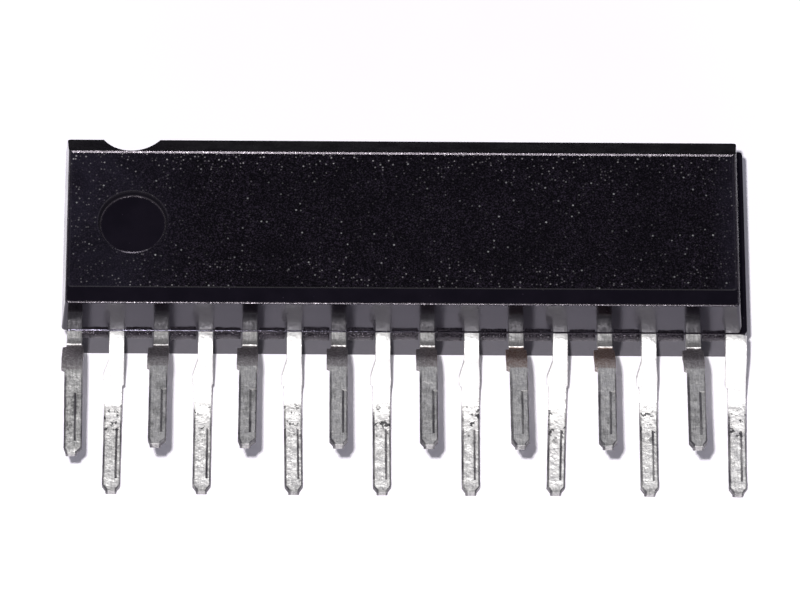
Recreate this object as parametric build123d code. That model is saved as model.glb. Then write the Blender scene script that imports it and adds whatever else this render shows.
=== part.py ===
"""Sixteen-lead zigzag in-line integrated circuit, lying on its back.

Frame: the origin is on the back face, at the middle of the lead row, and +Z
points out of the marking face. +X runs along the row, lead 1 at the -X end. +Y points to
the notched edge, so that the leads leave the body towards -Y. The lead frame
lies in the back half of the mould, with its front face on the parting plane.
Odd leads are bent towards the marking face and even leads away from it.
"""
import os
from math import atan2, cos, radians, sin, tan

from build123d import *

# ---------------------------------------------------------------- sizes, mm
# moulded body, measured at the parting plane
end_margin = 0.25          # middle of the end leads to the ends of the back half
body_height = 5.98
front_half = 1.51          # parting plane to marking face
back_half = 1.65           # parting plane to back face
long_wall_draft = 4.3      # degrees, the two long walls
end_wall_draft = 5.5       # degrees, the two end walls
parting_step = 0.035       # the front half is this much smaller along both long edges
end_step = 0.05            # and this much at both ends
front_shift = -0.07        # the mould halves don't quite meet: the front half sits
back_shift = 0.03          # towards lead 1 and the back half away from it
top_bevel = 0.85           # 45 degree bevel along the notched front edge
corner_radius = 0.10       # upright corners of both halves
edge_radius = 0.045        # edges round the marking face

# pin 1 marks in the body
mark_inset = 1.98          # end of the front half to both marks
notch_reach = 0.02         # how far the notch runs into the marking face
notch_radius = 1.20
notch_tilt = 26.6          # degrees, so that the notch runs out backwards
dimple_diameter = 1.97
dimple_depth = 0.20
dimple_wall_draft = 12.0   # degrees
dimple_height = 2.59       # above the lead edge of the marking face
dimple_floor_radius = 0.05

# resin left between the leads at the parting plane
resin_depth = 0.18
resin_clearance = 0.05     # to the lead on either side

# lead frame strip
lead_count = 16
lead_pitch = 1.27
strip_thickness = 0.25
neck_width = 0.43
end_neck_in = 0.06         # the necks of the two end leads stand this much inwards
shoulder_left = 0.335      # from the lead's centre line
shoulder_right = 0.262
leg_left = 0.245
leg_right = 0.27
neck_drop = 0.44           # body to the first bend
slant_drop = 1.05          # first bend to the second bend, along Y
row_offset = 1.117         # strip plane to the second bend, along Z
front_tail = 0.20          # shoulder below the second bend, front row
back_tail = -0.16          # and back row, where it ends above the bend
front_leg = 2.85           # second bend to the tip
back_leg = 2.98
leg_splay = 4.6            # degrees, each row leans away from the other
bend_radius = 0.55         # at the middle of the strip
tip_width = 0.31
tip_taper = 0.14           # length of the two slanting sides above the nib
tip_nib = 0.07

# pressed edges along the lower part of each leg, on its front face
coin_width = 0.11
coin_depth = 0.045
coin_start = 0.38          # above the tip
coin_length = 1.50
crease_width = 0.08        # pressed across the inner side of the first bend
crease_depth = 0.03

# handling has left the legs a little out of true
leg_lean = (0.4, -0.4, -0.1, -0.2, -0.3, 1.0, 0.1, 0.4,
            0.1, 0.1, 0.6, -1.5, -0.2, 0.3, 0.1, -0.2)      # degrees, sideways
first_leg_kick = 13.5      # degrees, lead 1 is pushed back towards the other row

# fingers of the leads inside the body
finger_width = 0.32
side_fingers = 4           # at each end, the rest come up from below
side_finger_pitch = 0.55
side_finger_rise = 0.20    # lowest side finger above the paddle's lower edge
finger_knee = 0.60         # 45 degree corner of a side finger
finger_fan = 0.30          # straight stretch above the lead edge before the fan
finger_tip = 0.25          # straight stretch at the inner end
finger_gap = 0.30          # finger tips to the paddle
landing = 0.15             # bond to the finger tip

# paddle, die and wires
paddle_length = 7.00
paddle_height = 2.90
paddle_offset = 0.35       # centre of the paddle above the centre of the body
tie_bar_width = 0.30
tie_bar_inset = 0.35       # centre of the tie bars below the paddle's top edge
die_length = 3.60
die_height = 2.00
die_thickness = 0.35
attach_thickness = 0.03
attach_margin = 0.12       # fillet of adhesive round the die
pad_inset = 0.15           # bond pads to the edge of the die
pad_margin = 0.25          # first and last pad to the corner
wire_diameter = 0.05
wire_neck = 0.18           # straight rise off the die
wire_rise = 0.32           # crest of a wire above the die
wire_crest = 0.22          # share of the run from the pad to the crest

# ------------------------------------------------------------ derived sizes
back_length = (lead_count - 1) * lead_pitch + 2 * end_margin
front_length = back_length - 2 * end_step
strip_z = back_half - strip_thickness / 2
lead_edge = -body_height / 2
first_bend = lead_edge - neck_drop
second_bend = first_bend - slant_drop
face_draft = (front_half * tan(radians(end_wall_draft)),
              front_half * tan(radians(long_wall_draft)))
back_draft = (back_half * tan(radians(end_wall_draft)),
              back_half * tan(radians(long_wall_draft)))
total_thickness = back_half + front_half
mark_x = front_shift - front_length / 2 + mark_inset
face_bottom = lead_edge + parting_step + face_draft[1]
bevel_top = (body_height / 2 - parting_step
             - (front_half - top_bevel) * tan(radians(long_wall_draft)))
face_top = bevel_top - top_bevel
dimple_y = face_bottom + dimple_height
paddle_bottom = paddle_offset - paddle_height / 2
paddle_top = paddle_offset + paddle_height / 2
die_top = back_half + attach_thickness + die_thickness


def lead_x(index):
    """Centre line of a lead, counted from 0."""
    return (index - (lead_count - 1) / 2) * lead_pitch


# --------------------------------------------------------------- the leads
def leg_form(index):
    """Row of a lead, +1 for the front, with its leg's length, splay and the shoulder's end."""
    splay = leg_splay - (first_leg_kick if index == 0 else 0)
    if index % 2 == 0:
        return 1, front_leg, splay, front_tail
    return -1, back_leg, splay, back_tail


def side_profile(index, inner_end):
    """Strip seen from the end of the body, in the YZ plane."""
    row, leg_length, splay, tail = leg_form(index)
    knee = (second_bend, strip_z + row * row_offset)
    tip = (knee[0] - leg_length * cos(radians(splay)),
           knee[1] + row * leg_length * sin(radians(splay)))
    points = [(inner_end, strip_z), (first_bend, strip_z), knee, tip]
    path = FilletPolyline(*points, radius=bend_radius)
    return Plane.YZ * trace(path, line_width=strip_thickness)


def finger_path(index):
    """Middle line of a finger inside the body, and the point of its bond."""
    x = lead_x(index)
    if side_fingers <= index < lead_count - side_fingers:
        count = lead_count - 2 * side_fingers
        slot = index - side_fingers - (count - 1) / 2
        tip = (slot * paddle_length / count, paddle_bottom - finger_gap)
        bond = (tip[0], tip[1] - landing)
        shaft = (tip[0], tip[1] - finger_tip)
        return [(x, lead_edge), (x, lead_edge + finger_fan), shaft, tip], bond
    side = 1 if x > 0 else -1
    rank = side_fingers - 1 - min(index, lead_count - 1 - index)
    y = paddle_bottom + side_finger_rise + rank * side_finger_pitch
    tip = (side * (paddle_length / 2 + finger_gap), y)
    bond = (tip[0] + side * landing, y)
    knee_out = (x, y - finger_knee)
    knee_in = (x - side * finger_knee, y)
    return [(x, lead_edge), knee_out, knee_in, tip], bond


def shoulder_top():
    """Y of the end of the first bend, where the shoulder starts."""
    slope = atan2(row_offset, slant_drop)
    return first_bend - bend_radius * tan(slope / 2) * cos(slope)


def plan_outline(index):
    """Blank of a lead seen from the front, in the XY plane."""
    x = lead_x(index)
    path, bond = finger_path(index)
    blank = trace(Polyline(*path), line_width=finger_width)
    for corner in path[1:-1]:
        blank += Pos(*corner) * Circle(finger_width / 2)
    row, leg_length, splay, tail = leg_form(index)
    shift = {0: end_neck_in, lead_count - 1: -end_neck_in}.get(index, 0)
    left, right = x + shift - neck_width / 2, x + shift + neck_width / 2
    top, low = shoulder_top() + 0.05, second_bend - tail
    neck = Pos((left + right) / 2, (lead_edge + top) / 2) * Rectangle(neck_width, lead_edge - top)
    shoulder = Polyline((left, top), (x - shoulder_left, top - 0.05), (x - shoulder_left, low),
                        (x + shoulder_right, low), (x + shoulder_right, top - 0.05),
                        (right, top), close=True)
    middle = (leg_right - leg_left) / 2
    foot = -leg_length + tip_nib
    leg = Polyline((-leg_left, -tail), (leg_right, -tail), (leg_right, foot + tip_taper),
                   (middle + tip_width / 2, foot), (middle + tip_width / 2, -leg_length - strip_thickness),
                   (middle - tip_width / 2, -leg_length - strip_thickness),
                   (middle - tip_width / 2, foot), (-leg_left, foot + tip_taper), close=True)
    lean = leg_lean[index % len(leg_lean)]
    blank += neck + make_face(shoulder) + Pos(x, second_bend) * Rot(0, 0, lean) * make_face(leg)
    return blank


def coined_edges(index):
    """The two wedges pressed off the front face of a leg, near its tip."""
    row, leg_length, splay, tail = leg_form(index)
    knee = Pos(lead_x(index), second_bend, strip_z + row * row_offset)
    turn = Rot(0, 0, leg_lean[index % len(leg_lean)]) * Rot(-row * splay, 0, 0)
    wedges = []
    for edge, side in ((leg_right, 1), (-leg_left, -1)):
        top = strip_thickness / 2
        section = Polyline((edge + side * coin_width, top + coin_depth),
                           (edge - side * coin_width, top + coin_depth),
                           (edge - side * coin_width, top),
                           (edge, top - coin_depth),
                           (edge + side * coin_width, top - coin_depth), close=True)
        start = Pos(0, -leg_length + coin_start, 0)
        wedge = extrude(Plane.XZ * make_face(section), -coin_length)
        wedges.append(knee * turn * start * wedge)
    return wedges


def bend_crease(index):
    """Groove that the forming tool leaves across the end of the first bend."""
    row = leg_form(index)[0]
    slope = atan2(row_offset, slant_drop)
    reach = bend_radius * tan(slope / 2)
    place = (lead_x(index), shoulder_top(), strip_z + row * reach * sin(slope))
    seat = Plane(origin=place, x_dir=(0, -cos(slope), row * sin(slope)), z_dir=(-row, 0, 0))
    skin, half = strip_thickness / 2, crease_width / 2
    groove = Polyline((-half, skin), (0, skin - crease_depth), (half, skin),
                      (half, skin + crease_depth), (-half, skin + crease_depth), close=True)
    return extrude(seat * make_face(groove), shoulder_left + shoulder_right, both=True)


def make_lead(index):
    """One lead, formed from its flat blank, with its finger."""
    path, bond = finger_path(index)
    inner_end = max(point[1] for point in path) + finger_width
    strip = extrude(side_profile(index, inner_end), back_length, both=True)
    blank = Pos(0, 0, strip_z) * plan_outline(index)
    lead = strip & extrude(blank, total_thickness + row_offset, both=True)
    lead -= coined_edges(index) + [bend_crease(index)]
    return lead.solid() if hasattr(lead, "solid") else lead


# ------------------------------------------------- paddle, die and the wires
def make_paddle():
    plate = Pos(0, paddle_offset) * Rectangle(paddle_length, paddle_height)
    bar = Pos(back_shift, paddle_top - tie_bar_inset) * Rectangle(back_length, tie_bar_width)
    return Pos(0, 0, back_half - strip_thickness) * extrude(plate + bar, strip_thickness)


def make_attach():
    """Adhesive: a thin bed, a little larger than the die."""
    bed = Rectangle(die_length + 2 * attach_margin, die_height + 2 * attach_margin)
    bed = fillet(bed.vertices(), attach_margin)
    return Pos(0, paddle_offset, back_half) * extrude(bed, attach_thickness)


def make_die():
    seat = Pos(0, paddle_offset, back_half + attach_thickness)
    return seat * extrude(Rectangle(die_length, die_height), die_thickness)


def pad_point(index):
    """Bond pad on the die for a lead."""
    if side_fingers <= index < lead_count - side_fingers:
        count = lead_count - 2 * side_fingers
        pitch = (die_length - 2 * pad_margin) / (count - 1)
        slot = index - side_fingers - (count - 1) / 2
        return (slot * pitch, paddle_offset - die_height / 2 + pad_inset, die_top)
    side = 1 if lead_x(index) > 0 else -1
    rank = side_fingers - 1 - min(index, lead_count - 1 - index)
    pitch = (die_height - 2 * pad_margin) / (side_fingers - 1)
    y = paddle_offset + (rank - (side_fingers - 1) / 2) * pitch
    return (side * (die_length / 2 - pad_inset), y, die_top)


def make_wire(index, die, lead):
    """Wire up from the die, over its edge and down to the finger.

    It is drawn with eight flats. Both ends start inside the metal and are cut
    off at its face.
    """
    path, bond = finger_path(index)
    sink = Vector(0, 0, wire_diameter)
    pad = Vector(*pad_point(index))
    foot = Vector(bond[0], bond[1], back_half)
    run = Vector(foot.X - pad.X, foot.Y - pad.Y, 0)
    neck = pad + Vector(0, 0, wire_neck)
    crest = pad + run * wire_crest + Vector(0, 0, wire_rise)
    line = Polyline(pad - sink, neck, crest, foot - sink)
    section = Plane(origin=line @ 0, z_dir=line % 0) * RegularPolygon(wire_diameter / 2, 8)
    return sweep(section, path=line, transition=Transition.RIGHT) - [die, lead]


# ------------------------------------------------------------ moulded body
def half_of_body(length, height, thickness, shrink, shift, upwards):
    """One half of the moulding: a rounded rectangle drawn in over its depth."""
    sign = 1 if upwards else -1
    base = RectangleRounded(length, height, corner_radius)
    far = RectangleRounded(length - 2 * shrink[0], height - 2 * shrink[1], corner_radius)
    return loft([Pos(shift, 0, back_half) * base,
                 Pos(shift, 0, back_half + sign * thickness) * far])


def make_bevel():
    """Wedge that takes off the notched front edge."""
    spare = top_bevel / 2
    section = Polyline((face_top - spare, total_thickness + spare),
                       (bevel_top + spare, total_thickness - top_bevel - spare),
                       (bevel_top + spare, total_thickness + spare), close=True)
    return extrude(Plane.YZ * make_face(section), back_length, both=True)


def make_notch():
    """Slanting round tool that leaves a shallow scoop in the bevelled edge."""
    axis_y = face_top - notch_reach + notch_radius / cos(radians(notch_tilt))
    tool = Cylinder(notch_radius, 8 * front_half)
    return Pos(mark_x, axis_y, total_thickness) * Rot(notch_tilt, 0, 0) * tool


def make_dimple():
    floor = dimple_diameter / 2 - dimple_depth * tan(radians(dimple_wall_draft))
    tool = Cone(floor, dimple_diameter / 2, dimple_depth, align=(Align.CENTER, Align.CENTER, Align.MAX))
    low = tool.edges().sort_by(Axis.Z)[0]
    tool = fillet(low, dimple_floor_radius)
    return Pos(mark_x, dimple_y, total_thickness) * tool


def make_body(inner_pieces):
    front = half_of_body(front_length, body_height - 2 * parting_step, front_half,
                         face_draft, front_shift, True)
    front -= make_bevel()
    back = half_of_body(back_length, body_height, back_half, back_draft, back_shift, False)
    front -= make_notch()
    back -= make_notch()
    face = front.faces().sort_by(Axis.Z)[-1]
    front = fillet(face.edges(), edge_radius)
    body = front + back
    body -= make_dimple()
    gap_width = lead_pitch - neck_width - 2 * resin_clearance
    for gap in range(lead_count - 1):
        x = (lead_x(gap) + lead_x(gap + 1)) / 2
        web = Pos(x, lead_edge, strip_z) * Box(gap_width, 2 * resin_depth, strip_thickness)
        body += web
    return body - inner_pieces


# ------------------------------------------------------------------- output
def main():
    os.makedirs("parts", exist_ok=True)
    leads = [make_lead(index) for index in range(lead_count)]
    paddle, attach, die = make_paddle(), make_attach(), make_die()
    wires = [make_wire(index, die, leads[index]).solid() for index in range(lead_count)]
    body = make_body(leads + [paddle, attach, die] + wires)
    nodes = {"moulded_body": body, "die_paddle": paddle, "die_attach": attach,
             "silicon_die": die, "bond_wires": Compound(children=wires)}
    for index in range(lead_count):
        nodes[f"lead_{index + 1:02d}"] = leads[index]
    for name, shape in nodes.items():
        export_step(shape, f"parts/{name}.step")


main()
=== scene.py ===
from functools import wraps
from math import cos, pi, radians, sin, tan

import bmesh
import bpy
from bpy.props import FloatProperty, FloatVectorProperty, PointerProperty
from mathutils import Matrix, Vector, noise


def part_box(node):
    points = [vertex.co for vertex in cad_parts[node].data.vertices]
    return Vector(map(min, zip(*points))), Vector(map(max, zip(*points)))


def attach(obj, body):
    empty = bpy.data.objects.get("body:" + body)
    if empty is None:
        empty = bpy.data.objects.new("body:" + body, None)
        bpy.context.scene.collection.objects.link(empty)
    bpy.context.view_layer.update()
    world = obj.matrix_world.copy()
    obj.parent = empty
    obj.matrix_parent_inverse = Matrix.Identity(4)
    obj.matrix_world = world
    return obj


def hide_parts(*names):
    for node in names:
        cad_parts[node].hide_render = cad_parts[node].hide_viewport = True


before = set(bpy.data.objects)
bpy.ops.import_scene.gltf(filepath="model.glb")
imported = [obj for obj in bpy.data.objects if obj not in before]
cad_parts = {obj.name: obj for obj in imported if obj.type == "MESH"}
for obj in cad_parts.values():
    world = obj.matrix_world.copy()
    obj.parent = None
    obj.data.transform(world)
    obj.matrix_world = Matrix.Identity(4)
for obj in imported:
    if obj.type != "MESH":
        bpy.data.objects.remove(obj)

bl_info = {
    "name": "Zigzag in-line integrated circuit",
    "version": (1, 0, 0),
    "blender": (4, 5, 0),
    "location": "3D View > Sidebar > Chip",
    "description": "Moulded body, formed leads and inner parts of a sixteen-lead zigzag package",
    "category": "Add Mesh",
}

MM = 0.001
LEAD_NAMES = sorted(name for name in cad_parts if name.startswith("lead_"))
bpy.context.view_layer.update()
BODY_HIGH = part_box("moulded_body")[1]
LEAN = (0.4, -0.4, -0.1, -0.2, -0.3, 1.0, 0.1, 0.4,
        0.1, 0.1, 0.6, -1.5, -0.2, 0.3, 0.1, -0.2)        # degrees, sideways lean of each leg
ASIDE = (0.085, -0.12, -0.043, -0.09, -0.037, -0.052, -0.014, -0.046,
         0.0, -0.037, 0.02, -0.08, -0.014, -0.014, -0.026, -0.014)  # mm, shift of each leg
DULL = (0.68, 0.28, 0.53, 0.14, 0.49, 0.12, 0.46, 0.12,
        0.47, 0.16, 0.46, 0.0, 0.46, 0.13, 0.50, 0.17)      # how dull each leg has gone
EASE = (0, 6, 2, 7, 5, 10, 7, 3)           # degrees, how gently each back leg straightens
FINGER, SHOULDER, LEG, TIP = 0.32, (0.335, 0.262), (0.245, 0.27), (0.143, 0.167)
# mm: width of a finger, then how far each part of a lead reaches left and right of its middle
GROOVE = (0.18, 0.11, 0.125, 0.09, 0.16, 0.10, 0.11, 0.11,
          0.11, 0.12, 0.16, 0.11, 0.15, 0.12, 0.14, 0.12)  # mm, pressed line to the right edge


# ------------------------------------------------------------------ settings
def length_setting(name, description, millimetres):
    return FloatProperty(name=name, description=description, default=millimetres * MM,
                         unit="LENGTH", precision=6)


def angle_setting(name, description, degrees):
    return FloatProperty(name=name, description=description, default=radians(degrees),
                         subtype="ANGLE")


def colour_setting(name, description, *rgb):
    return FloatVectorProperty(name=name, description=description, subtype="COLOR", size=4,
                               min=0, max=1, default=(*rgb, 1))


def place_setting(name, description, *millimetres):
    return FloatVectorProperty(name=name, description=description, subtype="TRANSLATION",
                               unit="LENGTH", size=3, precision=6,
                               default=[value * MM for value in millimetres])


def level_setting(name, description, level):
    return FloatProperty(name=name, description=description, default=level)


class ChipBodySettings(bpy.types.PropertyGroup):
    """Sizes of the moulded body"""
    back_half: length_setting("Back half", "Back face to the parting plane", 1.65)
    long_draft: angle_setting("Long wall draft", "Lean of the front half's long walls", 3.3)
    back_draft: angle_setting("Back wall draft", "Lean of the back half's long walls", 3.5)
    end_draft: angle_setting("End wall draft", "Lean of the two end walls", 5.5)
    end_margin: length_setting("End margin", "End leads to the ends of the back half", 0.25)
    end_step: length_setting("End step", "The front half is this much shorter", 0.0275)
    front_shift: length_setting("Front shift", "Front half off the middle of the row", -0.0925)
    front_drop: length_setting("Front drop", "Front half nearer the leads than the back half", 0.030)
    back_shift: length_setting("Back shift", "Back half off the middle of the row", 0.03)
    ledge: length_setting("Ledge", "Step in from the back half to the front half", 0.035)
    bevel: length_setting("Bevel", "Size of the 45 degree bevel on the notched edge", 0.82)
    rounding: length_setting("Edge rounding", "Radius of the moulded edges", 0.03)
    mark_inset: length_setting("Mark inset", "Front half's end to the pin 1 marks", 2.025)
    dimple_height: length_setting("Dimple height", "Lead edge of the face to the dimple", 2.616)
    dimple_radius: length_setting("Dimple radius", "Radius of the pin 1 dimple", 0.985)
    dimple_depth: length_setting("Dimple depth", "Depth of the pin 1 dimple", 0.20)
    notch_radius: length_setting("Notch radius", "Radius of the slanting scoop", 1.10)
    notch_tilt: angle_setting("Notch tilt", "Slant of the scoop", 26.6)
    panel_margin: length_setting("Panel margin", "Smooth border round the matt panel", 0.012)
    panel_band: length_setting("Panel band", "Smooth band below the matt panel", 0.45)
    panel_sink: length_setting("Panel sink", "How far the matt panel is let in", 0.025)
    web_depth: length_setting("Web depth", "Resin left between the leads", 0.18)


class ChipLeadSettings(bpy.types.PropertyGroup):
    """Sizes of the leads"""
    pitch: length_setting("Pitch", "Distance between neighbouring leads", 1.27)
    thickness: length_setting("Strip thickness", "Thickness of the lead frame strip", 0.25)
    neck_width: length_setting("Neck width", "Width where a lead leaves the body", 0.43)
    end_neck_in: length_setting("End neck inset", "Necks of the end leads inwards", 0.06)
    neck_drop: length_setting("Neck drop", "Body to the first bend", 0.44)
    slant_drop: length_setting("Slant drop", "First bend to the second along the lead", 1.05)
    row_offset: length_setting("Row offset", "Strip plane to the row of legs", 1.117)
    front_leg: length_setting("Front leg", "Second bend to the tip, front row", 2.85)
    back_leg: length_setting("Back leg", "Second bend to the tip, back row", 2.98)
    splay: angle_setting("Splay", "Lean of each row away from the other", 4.6)
    kick: angle_setting("First leg kick", "How far lead 1 is pushed back", 13.5)
    bend_radius: length_setting("Bend radius", "Radius at the middle of the strip", 0.55)
    rounding: length_setting("Edge rounding", "Rounding of the plated edges", 0.022)
    groove_depth: length_setting("Groove depth", "Depth of the pressed strips", 0.045)


class ChipFinishSettings(bpy.types.PropertyGroup):
    """Colours of the finishes"""
    compound: colour_setting("Compound", "Colour of the moulding compound", 0.0044, 0.0033, 0.0054)
    tin: colour_setting("Tin", "Colour of the plating", 0.96, 0.945, 0.92)
    tarnish: colour_setting("Tarnish", "Colour of the stained plating", 0.15, 0.075, 0.052)
    paper: colour_setting("Paper", "Colour of the sheet under the part", 0.98, 0.94, 1.0)


class ChipStageSettings(bpy.types.PropertyGroup):
    """Camera and light"""
    elevation: angle_setting("Elevation", "Camera height above the sheet", 61.8)
    roll: angle_setting("Roll", "Turn of the picture", -0.05)
    yaw: angle_setting("Yaw", "Turn of the camera round the part", -0.8)
    distance: length_setting("Distance", "Camera to the part", 195)
    view_width: length_setting("View width", "Width that the picture takes in at the part", 23.0548)
    aim: place_setting("Aim", "Point that the camera turns about", 0, -0.49, 1.65)
    slide: length_setting("Slide", "Camera moved to the left", 0.146)
    sink: length_setting("Sink", "Camera moved down", 1.289)
    lamp_place: place_setting("Lamp place", "Middle of the key light", -13.5, -73, 165)
    lamp_aim: place_setting("Lamp aim", "Point that the key light faces", 0, -2.0, 1.5)
    lamp_size: length_setting("Lamp size", "Width of the key light", 6.4)
    key: level_setting("Key light", "Level of the key light", 0.318)
    fill: level_setting("Fill light", "Level of the surroundings", 0.108)
    lift: level_setting("Paper lift", "Whiteness added to the sheet round the part", 0.10)


# ------------------------------------------------------------------- helpers
def mm(metres):
    return metres / MM


def keep_piece(name, bm, materials, replaces=(), sharp=40, flat=()):
    """Store a bmesh drawn in millimetres as a piece of the chip, in place, on the one body."""
    mesh = bpy.data.meshes.new(name)
    bmesh.ops.recalc_face_normals(bm, faces=bm.faces)
    bmesh.ops.scale(bm, vec=(MM, MM, MM), verts=bm.verts)
    bm.to_mesh(mesh)
    bm.free()
    for material in materials:
        mesh.materials.append(material)
    mesh.polygons.foreach_set("use_smooth", [face.material_index not in flat for face in mesh.polygons])
    mesh.set_sharp_from_angle(angle=radians(sharp))
    piece = bpy.data.objects.new(name, mesh)
    bpy.context.scene.collection.objects.link(piece)
    even = piece.modifiers.new("Even shading", "WEIGHTED_NORMAL")
    even.keep_sharp = True
    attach(piece, "root")
    if replaces:
        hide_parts(*replaces)
    return piece


def of_kind(geom, kind):
    return [item for item in geom if isinstance(item, kind)]


def dress(name, material):
    """Give a CAD node its finish."""
    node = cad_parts[name]
    node.data.materials.clear()
    node.data.materials.append(material)


# ----------------------------------------------------------------- materials
class Graph:
    """Nodes added and wired one after another."""

    def __init__(self, tree):
        self.tree = tree

    def add(self, kind, sockets=None, **settings):
        node = self.tree.nodes.new(kind)
        for name, value in settings.items():
            setattr(node, name, value)
        for name, value in (sockets or {}).items():
            self.feed(node.inputs[name], value)
        return node

    def feed(self, socket, value):
        if isinstance(value, bpy.types.NodeSocket):
            self.tree.links.new(value, socket)
        else:
            socket.default_value = value

    def maths(self, operation, first, second=0.0):
        node = self.add("ShaderNodeMath", {0: first, 1: second}, operation=operation)
        return node.outputs[0]

    def times(self, first, second):
        return self.maths("MULTIPLY", first, second)

    def plus(self, first, second):
        return self.maths("ADD", first, second)

    def less(self, first, second):
        return self.maths("SUBTRACT", first, second)

    def most(self, first, second):
        return self.maths("MAXIMUM", first, second)

    def ramp(self, value, low, high, to_low=0.0, to_high=1.0):
        """Smooth step from one level to another."""
        node = self.add("ShaderNodeMapRange", {"Value": value, "From Min": low, "From Max": high,
                                               "To Min": to_low, "To Max": to_high},
                        interpolation_type="SMOOTHSTEP")
        return node.outputs["Result"]

    def spread(self, mask, low, high):
        """Levels from low, where the mask is 0, to high, where it is 1."""
        return self.ramp(mask, 0.0, 1.0, low, high)

    def blend(self, mask, first, second):
        node = self.add("ShaderNodeMix", data_type="RGBA", blend_type="MIX")
        for name, value in (("Factor_Float", mask), ("A_Color", first), ("B_Color", second)):
            self.feed(next(i for i in node.inputs if i.identifier == name), value)
        return next(o for o in node.outputs if o.identifier == "Result_Color")

    def noise(self, place, size, detail=2.0, rough=0.5):
        scale = self.maths("DIVIDE", 1.0, size) if isinstance(size, bpy.types.NodeSocket) else 1 / size
        node = self.add("ShaderNodeTexNoise", {"Vector": place, "Scale": scale, "Detail": detail,
                                               "Roughness": rough})
        return node.outputs["Fac"]

    def place(self):
        """Object coordinates in millimetres."""
        here = self.add("ShaderNodeTexCoord").outputs["Object"]
        return self.add("ShaderNodeVectorMath", {0: here, "Scale": 1000.0},
                        operation="SCALE").outputs["Vector"]

    def parts(self, vector):
        return self.add("ShaderNodeSeparateXYZ", {0: vector}).outputs

    def effect(self, group, **values):
        """Place a shared effect."""
        node = self.add("ShaderNodeGroup", node_tree=group)
        for name, value in values.items():
            self.feed(node.inputs[name], value)
        return node.outputs

    def grain(self, place, size, slow_size):
        return self.effect(grain_effect(), Place=place, Size=size, **{"Slow size": slow_size})

    def specks(self, place, spacing, radius, share, rarity=0.5):
        return self.effect(specks_effect(), Place=place, Spacing=spacing, Radius=radius,
                           Share=share, Rarity=rarity)["Mask"]

    def stains(self, place, size, share, softness):
        return self.effect(stain_effect(), Place=place, Size=size, Share=share,
                           Softness=softness)["Mask"]

    def carried(self, attribute):
        """The three numbers that a piece's points carry under a name."""
        return self.parts(self.add("ShaderNodeAttribute", attribute_name=attribute).outputs["Vector"])

    def stretched(self, place, *scale):
        return self.add("ShaderNodeMapping", {"Vector": place, "Scale": scale},
                        vector_type="POINT").outputs["Vector"]


def once(kind, name):
    """Build an effect or a finish the first time it is asked for, and hand it back after that."""
    def keep(build):
        @wraps(build)
        def found_or_built():
            return getattr(bpy.data, kind).get(name) or build(name)
        return found_or_built
    return keep


def new_effect(name, numbers, outputs):
    """An empty effect with a place in millimetres and named numbers going in."""
    group = bpy.data.node_groups.new(name, "ShaderNodeTree")
    group.interface.new_socket("Place", in_out="INPUT", socket_type="NodeSocketVector")
    for label, default in numbers.items():
        socket = group.interface.new_socket(label, in_out="INPUT", socket_type="NodeSocketFloat")
        socket.default_value = default
    for label in outputs:
        group.interface.new_socket(label, in_out="OUTPUT", socket_type="NodeSocketFloat")
    graph = Graph(group)
    return group, graph, graph.add("NodeGroupInput").outputs, graph.add("NodeGroupOutput").inputs


@once("node_groups", "fine_grain")
def grain_effect(name):
    """Fine even grain, with a slower unevenness under it."""
    group, graph, given, result = new_effect(name, {"Size": 0.04, "Slow size": 0.6},
                                             ("Grain", "Unevenness"))
    fine = graph.noise(given["Place"], given["Size"], 2.0, 0.6)
    slow = graph.noise(given["Place"], given["Slow size"], 3.0, 0.55)
    graph.feed(result["Grain"], graph.ramp(fine, 0.3, 0.72))
    graph.feed(result["Unevenness"], graph.ramp(slow, 0.3, 0.7))
    return group


@once("node_groups", "specks")
def specks_effect(name):
    """Small round specks, each in its own place, over a given share of the surface."""
    group, graph, given, result = new_effect(name, {"Spacing": 0.15, "Radius": 0.02,
                                                        "Share": 0.3, "Rarity": 0.5}, ("Mask",))
    scale = graph.maths("DIVIDE", 1.0, given["Spacing"])
    cells = graph.add("ShaderNodeTexVoronoi", {"Vector": given["Place"], "Scale": scale,
                                               "Randomness": 1.0}, feature="F1")
    away = graph.times(cells.outputs["Distance"], given["Spacing"])
    wide = graph.times(given["Radius"], 1.6)
    dot = graph.ramp(away, wide, graph.times(given["Radius"], 0.4))
    draw, level, _ = graph.parts(cells.outputs["Color"])
    chosen = graph.maths("LESS_THAN", draw, given["Share"])
    strength = graph.maths("POWER", level, given["Rarity"])
    graph.feed(result["Mask"], graph.times(graph.times(dot, chosen), strength))
    return group


@once("node_groups", "stain_patches")
def stain_effect(name):
    """Soft-edged patches."""
    group, graph, given, result = new_effect(name, {"Size": 0.8, "Share": 0.5,
                                                               "Softness": 0.12}, ("Mask",))
    patches = graph.noise(given["Place"], given["Size"], 4.0, 0.62)
    level = graph.less(1.0, given["Share"])
    low = graph.less(level, given["Softness"])
    graph.feed(result["Mask"], graph.ramp(patches, low, graph.plus(level, given["Softness"])))
    return group


def start_finish(name):
    """A new material, its graph and its shader."""
    material = bpy.data.materials.new(name)
    material.use_nodes = True
    graph = Graph(material.node_tree)
    return material, graph, material.node_tree.nodes["Principled BSDF"]


def set_shader(graph, shader, **values):
    """Feed the shader's sockets, named with underscores for blanks."""
    for name, value in values.items():
        graph.feed(shader.inputs[name.replace("_", " ")], value)


def bump(graph, height, distance, strength=1.0):
    node = graph.add("ShaderNodeBump", {"Height": height, "Distance": distance * MM,
                                        "Strength": strength})
    return node.outputs["Normal"]


def tinted(colour, factor):
    return (*(min(1.0, part * factor) for part in colour[:3]), 1)


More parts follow.
